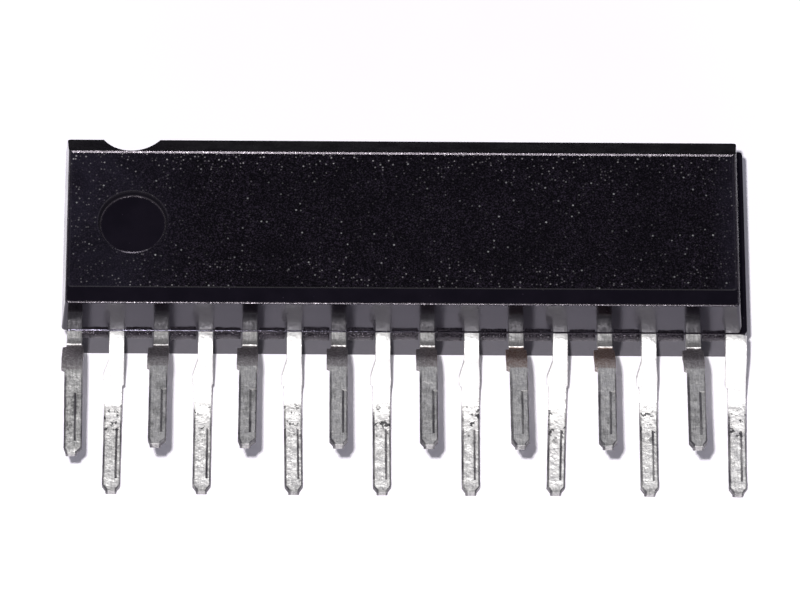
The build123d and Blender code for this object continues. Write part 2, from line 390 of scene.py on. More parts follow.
@once("materials", "moulding_compound_finish")
def compound_finish(name):
    """Polished moulding compound, with flow marks and a few fine pits."""
    made, graph, shader = start_finish(name)
    colour = bpy.context.scene.chip_finish.compound
    place = graph.place()
    grain = graph.grain(place, 0.06, 0.9)
    pits = graph.specks(place, 0.22, 0.016, 0.22)
    base = graph.blend(grain["Unevenness"], tinted(colour, 0.8), tinted(colour, 1.25))
    base = graph.blend(pits, base, tinted(colour, 7.0))
    rough = graph.spread(grain["Unevenness"], 0.10, 0.17)
    rough = graph.plus(rough, graph.times(pits, 0.3))
    height = graph.plus(graph.times(grain["Grain"], 0.25), grain["Unevenness"])
    set_shader(graph, shader, Base_Color=base, Roughness=rough, Normal=bump(graph, height, 0.0012),
               Specular_Tint=(0.86, 0.81, 1.0, 1), IOR=1.56)
    return made


@once("materials", "matt_panel_finish")
def panel_finish(name):
    """Matt eroded panel with pale filler specks, painted bright as glints, and a painted sheen towards
    both ends.
    """
    made, graph, shader = start_finish(name)
    colour = bpy.context.scene.chip_finish.compound
    place = graph.place()
    grain = graph.grain(place, 0.045, 1.1)
    # Pale filler specks, painted bright enough to stand in for the grains' glints: partly their own
    # colour, partly painted highlight.
    few = graph.specks(place, 0.19, 0.025, 0.45, 2.2)
    many = graph.specks(place, 0.10, 0.022, 0.62, 2.0)
    across, up, _ = graph.parts(place)
    dense = graph.most(graph.ramp(up, 0.5, 2.0), graph.ramp(up, -0.8, -2.1, 0.0, 0.75))
    clouds = graph.stains(place, 1.3, 0.52, 0.12)
    dense = graph.times(dense, graph.spread(clouds, 0.3, 1.0))
    dense = graph.plus(dense, graph.ramp(up, 1.3, 2.0, 0.0, 0.7))
    # Towards both ends of the face: painted sheen, a lighter bluish tone that stands in for light
    # reflected there. The same mask also puts more specks there.
    end_sheen_mask = graph.most(graph.ramp(across, -5.5, -9.3), graph.ramp(across, 8.6, 9.6))
    many = graph.times(many, graph.most(dense, graph.spread(end_sheen_mask, 0.12, 0.5)))
    base = graph.blend(graph.maths("POWER", grain["Grain"], 3.0), tinted(colour, 0.15),
                       graph.blend(clouds, tinted(colour, 2.6), tinted(colour, 4.6)))
    # Painted sheen towards the ends, laid on unevenly.
    painted_sheen = graph.times(end_sheen_mask, graph.spread(grain["Unevenness"], 0.5, 1.0))
    base = graph.blend(graph.times(painted_sheen, 0.5), base, (0.016, 0.0145, 0.024, 1))
    # Specks blended in pale: filler colour with a painted glint.
    base = graph.blend(many, base, (0.30, 0.285, 0.29, 1))
    base = graph.blend(few, base, (0.30, 0.30, 0.30, 1))
    rough = graph.spread(grain["Grain"], 0.30, 0.37)
    set_shader(graph, shader, Base_Color=base, Roughness=rough,
               Normal=bump(graph, grain["Grain"], 0.004, 0.5),
               Specular_Tint=(0.94, 0.85, 1.0, 1), Specular_IOR_Level=0.24)
    return made


@once("materials", "worn_edge_finish")
def worn_finish(name):
    """Edges rubbed dull in places, which catch the light unevenly."""
    made, graph, shader = start_finish(name)
    colour = bpy.context.scene.chip_finish.compound
    place = graph.place()
    grain = graph.grain(place, 0.05, 0.5)
    rubbed = graph.specks(place, 0.08, 0.022, 0.5, 1.5)
    base = graph.blend(grain["Unevenness"], tinted(colour, 0.7), tinted(colour, 1.8))
    base = graph.blend(rubbed, base, (0.10, 0.095, 0.10, 1))
    rough = graph.spread(grain["Grain"], 0.25, 0.38)
    set_shader(graph, shader, Base_Color=base, Roughness=rough,
               Normal=bump(graph, grain["Grain"], 0.005, 0.7),
               Specular_Tint=(1.0, 0.90, 1.0, 1), IOR=1.56)
    return made


@once("materials", "dull_bevel_finish")
def dull_finish(name):
    """The dull bevel and scoop, rubbed with fine pale dust."""
    made, graph, shader = start_finish(name)
    colour = bpy.context.scene.chip_finish.compound
    place = graph.place()
    grain = graph.grain(place, 0.05, 0.7)
    dust = graph.specks(place, 0.2, 0.016, 0.3)
    base = graph.blend(grain["Grain"], tinted(colour, 0.15), tinted(colour, 1.5))
    base = graph.blend(dust, base, (0.04, 0.04, 0.045, 1))
    rough = graph.spread(grain["Unevenness"], 0.62, 0.75)
    set_shader(graph, shader, Base_Color=base, Roughness=rough,
               Normal=bump(graph, grain["Grain"], 0.004), Specular_IOR_Level=0.01)
    return made


@once("materials", "tinned_finish")
def tin_finish(name):
    """Dipped plating: drawn lines, stains, bare patches, dull sheared edges, and painted shade along
    the legs' edges, pressed lanes and groove.
    """
    made, graph, shader = start_finish(name)
    finish = bpy.context.scene.chip_finish
    place = graph.place()
    from_left, along, from_right = graph.carried("strip")
    dulled, groove, burnt = graph.carried("wear")
    lengthways = graph.stretched(place, 6.0, 0.9, 6.0)
    grain = graph.grain(place, 0.07, 1.3)
    drawn = graph.grain(lengthways, 0.25, 1.1)
    patches = graph.stains(place, 0.42, 0.46, 0.05)
    bent = graph.add("ShaderNodeVectorMath", {0: place, 1: graph.add("ShaderNodeTexNoise", {
        "Vector": place, "Scale": 9.0}).outputs["Color"]}, operation="ADD").outputs["Vector"]
    flecks = graph.specks(bent, 0.2, 0.034, 0.3)

    across, _, height_up = graph.parts(place)
    on_leg = graph.ramp(along, 2.2, 3.0)
    vary = graph.plus(graph.spread(drawn["Grain"], -0.15, 0.15),
                       graph.spread(grain["Grain"], -0.10, 0.10))
    vary = graph.times(vary, graph.ramp(dulled, 0.0, 0.12, 0.3, 1.0))
    vary = graph.times(vary, graph.less(1.1, dulled))
    loss = graph.plus(dulled, vary)
    loss = graph.plus(loss, graph.times(graph.times(patches, on_leg), 0.15))
    spots = graph.stains(place, 0.17, 0.405, 0.02)
    band = graph.times(graph.ramp(along, 1.9, 2.4), graph.ramp(along, 3.6, 2.9))
    spots = graph.times(graph.times(spots, band), graph.ramp(height_up, 1.5, 1.3))
    loss = graph.most(loss, 0.0)
    base = graph.blend(loss, finish.tin, (0.055, 0.055, 0.055, 1))
    marks = graph.times(flecks, graph.ramp(along, 1.9, 2.5, 0.3, 1.0))
    marks = graph.most(marks, graph.times(spots, 0.9))
    base = graph.blend(marks, base, (0.022, 0.022, 0.026, 1))
    # Painted shade: darker bands along the leg's edges, its pressed lanes and the groove line, where
    # the walls turn from the light.
    edge = graph.most(graph.ramp(from_left, 0.085, 0.045), graph.ramp(from_right, 0.05, 0.025))
    edge = graph.most(edge, graph.ramp(graph.maths("ABSOLUTE", groove), 0.05, 0.02))
    edge = graph.times(edge, graph.ramp(along, 2.1, 2.6))
    edge = graph.times(edge, graph.spread(drawn["Unevenness"], 0.6, 0.95))
    base = graph.blend(edge, base, (0.085, 0.08, 0.09, 1))
    scorch = graph.times(burnt, graph.spread(grain["Grain"], 0.78, 1.0))
    rusty = graph.times(graph.ramp(across, 0.0, 2.6), graph.ramp(across, 7.6, 5.6))
    burn = graph.blend(rusty, (0.115, 0.095, 0.105, 1), finish.tarnish)
    base = graph.blend(scorch, base, burn)
    rough = graph.spread(grain["Grain"], 0.48, 0.60)
    rough = graph.plus(rough, graph.times(loss, 0.12))
    metal = graph.less(1.0, graph.times(burnt, 0.3))
    height = graph.plus(graph.times(drawn["Grain"], 0.6), grain["Grain"])
    swell = graph.grain(place, 0.3, 0.3)["Unevenness"]
    height = graph.plus(graph.times(height, 0.12), swell)
    set_shader(graph, shader, Base_Color=base, Roughness=rough, Metallic=metal,
               Normal=bump(graph, height, 0.013, 1.0))
    return made


@once("materials", "bare_strip_finish")
def strip_finish(name):
    """Bare rolled strip under the plating, with its rolling lines."""
    made, graph, shader = start_finish(name)
    place = graph.place()
    rolled = graph.stretched(place, 0.3, 8.0, 8.0)
    grain = graph.grain(rolled, 0.3, 1.2)
    stain = graph.stains(place, 1.4, 0.35, 0.15)
    base = graph.blend(grain["Grain"], (0.50, 0.47, 0.43, 1), (0.62, 0.59, 0.54, 1))
    base = graph.blend(graph.times(stain, 0.4), base, (0.40, 0.33, 0.27, 1))
    rough = graph.spread(grain["Unevenness"], 0.30, 0.42)
    set_shader(graph, shader, Base_Color=base, Roughness=rough, Metallic=1.0,
               Normal=bump(graph, grain["Grain"], 0.003, 0.5))
    return made


@once("materials", "adhesive_finish")
def adhesive_finish(name):
    """Silver-filled adhesive with its flakes."""
    made, graph, shader = start_finish(name)
    place = graph.place()
    grain = graph.grain(place, 0.03, 0.5)
    flakes = graph.specks(place, 0.05, 0.014, 0.5)
    base = graph.blend(grain["Unevenness"], (0.30, 0.29, 0.27, 1), (0.42, 0.41, 0.38, 1))
    base = graph.blend(flakes, base, (0.66, 0.65, 0.62, 1))
    rough = graph.spread(grain["Grain"], 0.45, 0.65)
    metal = graph.spread(flakes, 0.35, 0.9)
    set_shader(graph, shader, Base_Color=base, Roughness=rough, Metallic=metal,
               Normal=bump(graph, grain["Grain"], 0.005))
    return made


@once("materials", "silicon_finish")
def silicon_finish(name):
    """The die: polished silicon with blocks of fine rows."""
    made, graph, shader = start_finish(name)
    place = graph.place()
    blocks = graph.add("ShaderNodeTexBrick", {"Vector": place, "Color1": (0.10, 0.12, 0.16, 1),
                                              "Color2": (0.16, 0.14, 0.13, 1),
                                              "Mortar": (0.32, 0.31, 0.27, 1), "Scale": 1.0,
                                              "Mortar Size": 0.018, "Brick Width": 0.42,
                                              "Row Height": 0.30}).outputs["Color"]
    grain = graph.grain(place, 0.02, 0.4)
    base = graph.blend(graph.times(grain["Grain"], 0.5), blocks, (0.20, 0.21, 0.24, 1))
    rough = graph.spread(grain["Unevenness"], 0.14, 0.26)
    set_shader(graph, shader, Base_Color=base, Roughness=rough, Metallic=0.55)
    return made


@once("materials", "gold_wire_finish")
def gold_finish(name):
    """Drawn gold wire, a little uneven."""
    made, graph, shader = start_finish(name)
    place = graph.place()
    grain = graph.grain(place, 0.03, 0.3)
    base = graph.blend(grain["Unevenness"], (0.92, 0.62, 0.22, 1), (1.0, 0.74, 0.34, 1))
    rough = graph.spread(grain["Grain"], 0.16, 0.28)
    set_shader(graph, shader, Base_Color=base, Roughness=rough, Metallic=1.0)
    return made


def seen_directly(graph):
    """1 for rays from the camera and for mirrored and refracted ones."""
    path = graph.add("ShaderNodeLightPath").outputs
    seen = graph.most(path["Is Glossy Ray"], path["Is Transmission Ray"])
    return path["Is Camera Ray"], seen


@once("materials", "paper_finish")
def paper_finish(name):
    """White sheet that keeps the shadows and goes on white into the distance."""
    made, graph, shader = start_finish(name)
    place = graph.place()
    grain = graph.grain(place, 0.09, 6.0)
    colour = bpy.context.scene.chip_finish.paper
    base = graph.blend(grain["Unevenness"], tinted(colour, 0.985), colour)
    set_shader(graph, shader, Base_Color=base, Roughness=0.9, Specular_IOR_Level=0.1,
               Normal=bump(graph, grain["Grain"], 0.002, 0.3))
    camera, mirrored = seen_directly(graph)
    away = graph.add("ShaderNodeVectorMath", {0: place}, operation="LENGTH").outputs["Value"]
    level = graph.ramp(away, 7.0, 50.0, bpy.context.scene.chip_stage.lift, 1.0)
    level = graph.times(level, graph.most(camera, mirrored))
    glow = graph.add("ShaderNodeEmission", {"Color": (1, 1, 1, 1), "Strength": level})
    both = graph.add("ShaderNodeAddShader", {0: shader.outputs["BSDF"], 1: glow.outputs["Emission"]})
    graph.feed(made.node_tree.nodes["Material Output"].inputs["Surface"], both.outputs["Shader"])
    return made


def room_finish(stage):
    """Dim room light, white where the camera looks past the sheet."""
    world = bpy.data.worlds.new("room")
    world.use_nodes = True
    graph = Graph(world.node_tree)
    background = world.node_tree.nodes["Background"]
    camera, mirrored = seen_directly(graph)
    up = graph.parts(graph.add("ShaderNodeTexCoord").outputs["Generated"])[2]
    low = graph.ramp(up, 0.75, 0.25)
    white = graph.most(camera, graph.times(mirrored, low))
    dim = graph.less(stage.fill, graph.times(mirrored, stage.fill * 0.3))
    graph.feed(background.inputs["Color"], graph.blend(white, (0.90, 0.885, 1.25, 1), (1, 1, 1, 1)))
    graph.feed(background.inputs["Strength"],
               graph.plus(graph.times(white, graph.less(1.0, dim)), dim))
    return world


# --------------------------------------------------------------------- leads
def extrude_loop(bm, loop):
    """New edges drawn out of a closed line of edges, still in the same place."""
    made = bmesh.ops.extrude_edge_only(bm, edges=loop)["geom"]
    return of_kind(made, bmesh.types.BMEdge)


class Strip:
    """A strip of metal that is pulled out, widened, bent and turned step by step."""

    def __init__(self, start, direction, normal, width, thickness, rounding, lanes):
        self.bm = bmesh.new()
        self.at, self.direction, self.normal = Vector(start), Vector(direction), Vector(normal)
        self.left = self.right = width / 2
        self.corner = self.along = self.dull = self.burnt = 0.0
        self.groove = 1.0
        bm = self.bm
        self.strip = bm.verts.layers.float_vector.new("strip")
        self.wear = bm.verts.layers.float_vector.new("wear")
        bmesh.ops.create_grid(bm, x_segments=1, y_segments=1, size=0.5)
        bmesh.ops.scale(bm, vec=(width, thickness, 1), verts=bm.verts)
        bmesh.ops.bevel(bm, geom=bm.verts[:], affect="VERTICES", offset=rounding,
                        segments=3, profile=0.5, material=-1)
        for lane in lanes:
            everything = bm.verts[:] + bm.edges[:] + bm.faces[:]
            bmesh.ops.bisect_plane(bm, geom=everything, dist=1e-6, plane_co=(lane, 0, 0),
                                   plane_no=(1, 0, 0))
        turn = Matrix((self.side, self.normal, -self.direction)).transposed().to_4x4()
        bmesh.ops.transform(bm, matrix=Matrix.Translation(self.at) @ turn, verts=bm.verts)
        self.loop = [edge for edge in bm.edges if edge.is_boundary]

    @property
    def side(self):
        return self.normal.cross(self.direction)

    def end(self):
        return list({vert for edge in self.loop for vert in edge.verts})

    def across(self, vert):
        return (vert.co - self.at).dot(self.side)

    def above(self, vert):
        return (vert.co - self.at).dot(self.normal)

    def mark(self):
        """Note where the end lies on the strip, how dulled it is and how far it is from the groove, for
        the finish.
        """
        for vert in self.end():
            across = self.across(vert)
            vert[self.strip] = (across + self.left, self.along, self.right - across)
            vert[self.wear] = (self.dull, self.right - self.groove - across, self.burnt)

    def pull(self, length):
        """Straight on, squaring the end again after a corner."""
        self.loop = extrude_loop(self.bm, self.loop)
        if self.corner:
            self.skew(self.corner / 2, cos(self.corner / 2))
            self.corner = 0.0
        step = self.direction * length
        bmesh.ops.translate(self.bm, vec=step, verts=self.end())
        self.at += step
        self.along += length
        self.mark()

    def skew(self, angle, stretch):
        back = Matrix.Rotation(-self.corner / 2 if self.corner else 0.0, 3, self.normal)
        side = back @ self.side
        turn = Matrix.Rotation(angle, 3, self.normal)
        for vert in self.end():
            offset = vert.co - self.at
            offset += side * offset.dot(side) * (stretch - 1)
            vert.co = self.at + turn @ offset

    def swing(self, angle):
        """Turn in the plane of the strip at a mitred corner."""
        self.skew(angle / 2, 1 / cos(angle / 2))
        self.direction = (Matrix.Rotation(angle, 3, self.normal) @ self.direction).normalized()
        self.corner = angle

    def run(self, length, step):
        """Straight on in short steps, which leaves rows of points for the unevenness."""
        count = max(1, round(length / step))
        for _ in range(count):
            self.pull(length / count)

    def roughen(self, amount, scale, seed, below):
        """The small unevenness of dipped plating, on what is outside the body."""
        for vert in self.bm.verts:
            if vert.co.y < below:
                vert.co += noise.noise_vector(vert.co * scale + Vector((seed, 0, 0))) * amount

    def widen(self, left, right, length):
        """Straight on to a new width either side of the centre line."""
        self.pull(length)
        middle = 0.08 - self.left
        for vert in self.end():
            grow = right - self.right if self.across(vert) > middle else self.left - left
            vert.co += self.side * grow
        self.left, self.right = left, right
        self.mark()

    def press(self, left_lane, right_lane, depth):
        """Push the front face down outside two lines."""
        for vert in self.end():
            if self.above(vert) <= 0:
                continue
            if not left_lane - self.left <= self.across(vert) <= self.right - right_lane:
                vert.co -= self.normal * depth

    def crease(self, depth, face):
        """A step across the front face, or the back one where face is -1, that runs out again."""
        for length, height in ((0.018, -depth), (0.07, 0.0), (0.25, depth)):
            self.pull(length)
            for vert in self.end():
                if self.above(vert) * face > 0:
                    vert.co += self.normal * height * face

    def bend(self, angle, radius, steps, dull=0.0, burnt=0.0):
        """Bend about an axis across the strip, positive towards the front."""
        way = 1 if angle > 0 else -1
        centre = self.at + self.normal * radius * way
        turn = Matrix.Rotation(angle / steps, 3, -self.side)
        more_dull, more_burnt = (dull - self.dull) / steps, (burnt - self.burnt) / steps
        for _ in range(steps):
            made = bmesh.ops.spin(self.bm, geom=self.loop + self.end(), cent=centre, axis=-self.side,
                                  angle=angle / steps, steps=1, use_duplicate=False)["geom_last"]
            self.loop = of_kind(made, bmesh.types.BMEdge)
            self.at = centre + turn @ (self.at - centre)
            self.direction = (turn @ self.direction).normalized()
            self.normal = (turn @ self.normal).normalized()
            self.along += radius * abs(angle) / steps
            self.dull += more_dull
            self.burnt += more_burnt
            self.mark()

    def finish_tip(self, rounding):
        """Close the end with a face that has a broken edge."""
        face = bmesh.ops.contextual_create(self.bm, geom=self.loop)["faces"]
        bmesh.ops.inset_region(self.bm, faces=face, thickness=rounding, depth=0,
                               use_even_offset=True)
        bmesh.ops.translate(self.bm, vec=self.direction * rounding, verts=face[0].verts)


def lead_x(index, pitch):
    return (index - (len(LEAD_NAMES) - 1) / 2) * pitch


def finger_line(index, sizes, lead_edge):
    """Middle line of a finger, from its inner end to the edge of the body."""
    x, side_count, paddle_low, gap = lead_x(index, mm(sizes.pitch)), 4, -1.10, 0.30
    paddle_length = 7.0
    if side_count <= index < len(LEAD_NAMES) - side_count:
        count = len(LEAD_NAMES) - 2 * side_count
        slot = (index - side_count - (count - 1) / 2) * paddle_length / count
        line = [(slot, paddle_low - gap), (slot, paddle_low - gap - 0.25), (x, lead_edge + 0.30)]
    else:
        way = 1 if x > 0 else -1
        rank = side_count - 1 - min(index, len(LEAD_NAMES) - 1 - index)
        y = paddle_low + 0.20 + rank * 0.55
        line = [(way * (paddle_length / 2 + gap), y), (x - way * 0.60, y), (x, y - 0.60)]
    return [Vector((*point, 0)) for point in line + [(x, lead_edge)]]


def draw_finger(index, sizes, body, lanes):
    """Start a lead with its finger inside the body, up to the body's edge."""
    thickness = mm(sizes.thickness)
    line = finger_line(index, sizes, -mm(BODY_HIGH.y))
    for point in line:
        point.z = mm(body.back_half) - thickness / 2
    strip = Strip(line[0], (line[1] - line[0]).normalized(), (0, 0, 1), FINGER, thickness,
                  mm(sizes.rounding), lanes)
    for here, there, after in zip(line, line[1:], line[2:] + [None]):
        strip.pull((there - here).length)
        if after:
            ahead = (after - there).normalized()
            turn = strip.direction.cross(ahead).dot(strip.normal)
            if abs(turn) > 1e-6:
                strip.swing(strip.direction.angle(ahead) * (1 if turn > 0 else -1))
    return strip


def press_edges(strip, length, left_lane, right_lane, depth):
    """The pressed strips along both edges of a leg."""
    strip.groove = right_lane + 0.02
    strip.pull(0.02)
    strip.press(left_lane - 0.005, right_lane + 0.005, depth)
    strip.run(length - 0.04, 0.12)
    strip.pull(0.02)
    strip.press(left_lane - 0.005, right_lane + 0.005, -depth)
    strip.groove = 1.0


def taper_tip(strip, index, foot, row):
    """The foot of a leg with its tapered tip."""
    strip.run(foot - 0.215, 0.1)
    strip.dull = 0.5
    aside = ASIDE[index] - (0.05 if index < 5 and row > 0 else 0.0)
    strip.widen(TIP[0] - aside, TIP[1] + aside, 0.14)
    strip.pull(0.05)
    strip.finish_tip(0.015)


def form_lead(index, sizes, body):
    """One lead, from the end of its finger to its tip."""
    row = 1 if index % 2 == 0 else -1
    radius = mm(sizes.bend_radius)
    left_lane = 0.045 if row > 0 else 0.065
    right_lane = GROOVE[index]
    lanes = (left_lane - FINGER / 2, FINGER / 2 - right_lane - 0.04, FINGER / 2 - right_lane)
    strip = draw_finger(index, sizes, body, lanes)
    half = mm(sizes.neck_width) / 2
    aside = {0: 0.06, len(LEAD_NAMES) - 1: -0.13}.get(index, 0) * mm(sizes.end_neck_in) / 0.06
    strip.along, strip.dull = 0.0, 0.42 if row > 0 else 0.0
    strip.widen(half - aside, half + aside, 0.001)

    rise = Vector((mm(sizes.slant_drop), mm(sizes.row_offset)))
    slope = abs(rise.angle_signed(Vector((1, 0))))
    splay = sizes.splay - (sizes.kick if index == 0 else 0)
    bow, wide = (radius, radius) if row > 0 else (1.6 * radius, 1.7 * radius)
    ease = 0.0 if row > 0 else radians(EASE[index // 2])
    first = bow * tan(slope / 2)
    second = wide * tan((slope - splay - ease) / 2)
    if index < len(LEAD_NAMES) - 1:
        strip.pull(mm(sizes.neck_drop) - first)
    else:
        strip.pull(0.02)
        strip.widen(half - aside, SHOULDER[1], mm(sizes.neck_drop) - first - 0.02)
    strip.bend(row * slope, bow, 10, dull=0.3 if row > 0 else 0.0)
    part = max(ASIDE[index] / 2, ASIDE[index])
    slant, leg = rise.length - first - second, mm(sizes.front_leg if row > 0 else sizes.back_leg)
    groove, foot = 1.45 if row > 0 else 1.58, 0.40
    straight = leg - second - groove - foot
    if row > 0:
        strip.dull, strip.burnt = 0.35, 1.0
        strip.crease(0.042, row)
        strip.widen(SHOULDER[0] - part, SHOULDER[1] + part, 0.03)
        strip.run(slant - 0.368, 0.12)
    else:
        lower = (second * (sin(splay + ease) - sin(splay))
                 + straight * (sin(splay + ease / 2) - sin(splay)))
        straight += lower / tan(slope)
        strip.widen(SHOULDER[0] - part, SHOULDER[1] + part, 0.48)
        strip.run(slant - lower / sin(slope) - 0.51, 0.12)
        strip.widen(LEG[0] - ASIDE[index], LEG[1] + ASIDE[index], 0.03)
    strip.bend(-row * (slope - splay - ease), wide, 12, dull=DULL[index] if row > 0 else 0.0,
               burnt=0.65 if row > 0 else 0.0)
    if row > 0:
        strip.burnt = 0.45
        strip.widen(LEG[0] - ASIDE[index], LEG[1] + ASIDE[index], 0.03)
        straight -= 0.03
    if LEAN[index]:
        strip.swing(radians(LEAN[index]))
    strip.burnt = 0.0
    strip.pull(0.02)
    if ease:
        strip.bend(ease, (straight - 0.02) / ease, 8)
    else:
        strip.run(straight - 0.02, 0.1)
    strip.dull = DULL[index]
    press_edges(strip, groove, left_lane, right_lane, mm(sizes.groove_depth))
    taper_tip(strip, index, foot, row)
    strip.roughen(0.005, 6.0, index * 3.7, -mm(BODY_HIGH.y) - 0.05)
    return strip.bm


class CHIP_OT_leads(bpy.types.Operator):
    """Form the sixteen leads from flat strip"""
    bl_idname = "chip.leads"
    bl_label = "Leads"

    def execute(self, context):
        sizes, body = context.scene.chip_leads, context.scene.chip_body
        for index, name in enumerate(LEAD_NAMES):
            bm = form_lead(index, sizes, body)
            keep_piece(f"formed_{name}", bm, [tin_finish()], [name])
        return {"FINISHED"}


# ---------------------------------------------------------------------- body
SMOOTH, MATT, DULLED, WORN = range(4)      # finishes of the body, in the order of its materials


class Block:
    """A rectangle with round corners, raised step by step into a moulding."""

    def __init__(self, length, height, corner, low, inset):
        self.bm = bmesh.new()
        self.length, self.height, self.inset, self.z = length, height, Vector(inset), low
        self.middle = Vector((0, 0, 0))
        bm = self.bm
        bmesh.ops.create_grid(bm, x_segments=1, y_segments=1, size=0.5)
        bmesh.ops.scale(bm, vec=(length - 2 * inset[0], height - 2 * inset[1], 1), verts=bm.verts)
        bmesh.ops.bevel(bm, geom=bm.verts[:], affect="VERTICES", offset=corner,
                        segments=4, profile=0.5, material=-1)
        bmesh.ops.translate(bm, vec=(0, 0, low), verts=bm.verts)
        self.loop = bm.edges[:]

    def up(self, z, inset_x, inset_y):
        """Raise the top face to a height, drawn in by so much from the full outline."""
        self.loop = extrude_loop(self.bm, self.loop)
        self.finish_last(SMOOTH)
        verts = list({vert for edge in self.loop for vert in edge.verts})
        new = Vector((inset_x, inset_y))
        factor = ((self.length - 2 * new.x) / (self.length - 2 * self.inset.x),
                  (self.height - 2 * new.y) / (self.height - 2 * self.inset.y), 1)
        bmesh.ops.scale(self.bm, vec=factor, verts=verts,
                        space=Matrix.Translation(-self.middle))
        bmesh.ops.translate(self.bm, vec=(0, 0, z - self.z), verts=verts)
        self.inset, self.z = new, z

    def finish_last(self, number):
        """Finish of the last band of faces."""
        for edge in self.loop:
            for face in edge.link_faces:
                face.material_index = number

    def shift(self, across, along):
        """Move the top face sideways."""
        step = Vector((across, along, 0))
        self.middle += step
        verts = {vert for edge in self.loop for vert in edge.verts}
        bmesh.ops.translate(self.bm, vec=step, verts=list(verts))


def close(bm, loop):
    return bmesh.ops.contextual_create(bm, geom=loop)["faces"]


def cut_off(bm, point, normal):
    """Take away what lies beyond a plane and close the cut."""
    everything = bm.verts[:] + bm.edges[:] + bm.faces[:]
    cut = bmesh.ops.bisect_plane(bm, geom=everything, dist=1e-5, plane_co=point, plane_no=normal,
                                 clear_outer=True)["geom_cut"]
    return close(bm, of_kind(cut, bmesh.types.BMEdge))


def half_ends(sizes, leads):
    """Length of the back half and of the front half."""
    back = (len(LEAD_NAMES) - 1) * mm(leads.pitch) + 2 * mm(sizes.end_margin)
    return back, back - 2 * mm(sizes.end_step)


def mould_back(sizes, length, height):
    """The back half, lying on z = 0, up to the thin fin at the parting plane."""
    part, edge, fin = mm(sizes.back_half), mm(sizes.rounding), 0.012
    end, back = tan(sizes.end_draft), tan(sizes.back_draft)
    block = Block(length, height, 0.10, 0.0, (part * end + fin + edge, part * back + fin + edge))
    for step in range(1, 4):
        angle = pi / 2 * step / 3
        rise = edge * (1 - cos(angle))
        drawn = edge * (1 - sin(angle)) + fin
        block.up(rise, (part - rise) * end + drawn, (part - rise) * back + drawn)
    block.up(part - 0.045, 0.045 * end + fin, 0.045 * back + fin)
    block.up(part - 0.030, fin * 0.6, fin * 0.6)
    block.up(part - 0.020, 0, 0)
    return block


def mould_front(block, sizes, step):
    """Raise the front half on the back one, a step shorter at both ends and out of register."""
    total, part = mm(BODY_HIGH.z), mm(sizes.back_half)
    ledge, drop = mm(sizes.ledge), mm(sizes.front_drop)
    end, long = tan(sizes.end_draft), tan(sizes.long_draft)
    block.up(part + 0.002, 0, ledge - drop)
    block.finish_last(WORN)
    block.up(part + 0.004, step, ledge)
    block.shift(mm(sizes.front_shift - sizes.back_shift), -drop)
    front = total - part
    block.up(part + 0.02, step + 0.02 * end, ledge + 0.02 * long)
    for low, drawn in ((0.045, 0.0), (0.034, 0.002), (0.026, 0.006), (0.022, 0.010), (0.0, 0.052)):
        block.up(total - low, step + (front - low) * end + drawn,
                 ledge + (front - low) * long + drawn)
    block.finish_last(WORN)
    close(block.bm, block.loop)[0].material_index = SMOOTH


def mould_block(sizes, leads):
    """Both halves of the body with the bevel, but without the marks."""
    length, front_length = half_ends(sizes, leads)
    height, total, bevel = mm(2 * BODY_HIGH.y), mm(BODY_HIGH.z), mm(sizes.bevel)
    block = mould_back(sizes, length, height)
    mould_front(block, sizes, (length - front_length) / 2)
    bmesh.ops.translate(block.bm, vec=(mm(sizes.back_shift), 0, 0), verts=block.bm.verts)
    wall = total - mm(sizes.back_half) - bevel
    top_wall = height / 2 - mm(sizes.ledge) - wall * tan(sizes.long_draft) - mm(sizes.front_drop)
    face_top = top_wall - bevel
    for face in cut_off(block.bm, (0, face_top, total), (0, 1, 1)):
        face.material_index = DULLED
    return block.bm, face_top


def mark_x(sizes, leads):
    return mm(sizes.front_shift) - half_ends(sizes, leads)[1] / 2 + mm(sizes.mark_inset)


def let_in_panel(bm, sizes):
    """Let the matt panel into the face. It stays open, and its rim is handed back."""
    margin, sink = mm(sizes.panel_margin), mm(sizes.panel_sink)
    face = max(bm.faces, key=lambda f: f.calc_center_median().z)
    bmesh.ops.inset_region(bm, faces=[face], thickness=margin, depth=0, use_even_offset=True)
    low = min(vert.co.y for vert in face.verts)
    band = mm(sizes.panel_band) - margin
    bmesh.ops.translate(bm, vec=(0, band, 0), verts=[v for v in face.verts if v.co.y < low + 0.2])
    rims = bmesh.ops.inset_region(bm, faces=[face], thickness=2 * sink, depth=0,
                                  use_even_offset=True)["faces"]
    bmesh.ops.translate(bm, vec=(0, 0, -sink), verts=face.verts)
    top = max(rims, key=lambda rim: rim.calc_center_median().y)
    for side in rims:
        side.material_index = WORN if side is top else MATT
    rim = face.edges[:]
    bmesh.ops.delete(bm, geom=[face], context="FACES_ONLY")
    return rim


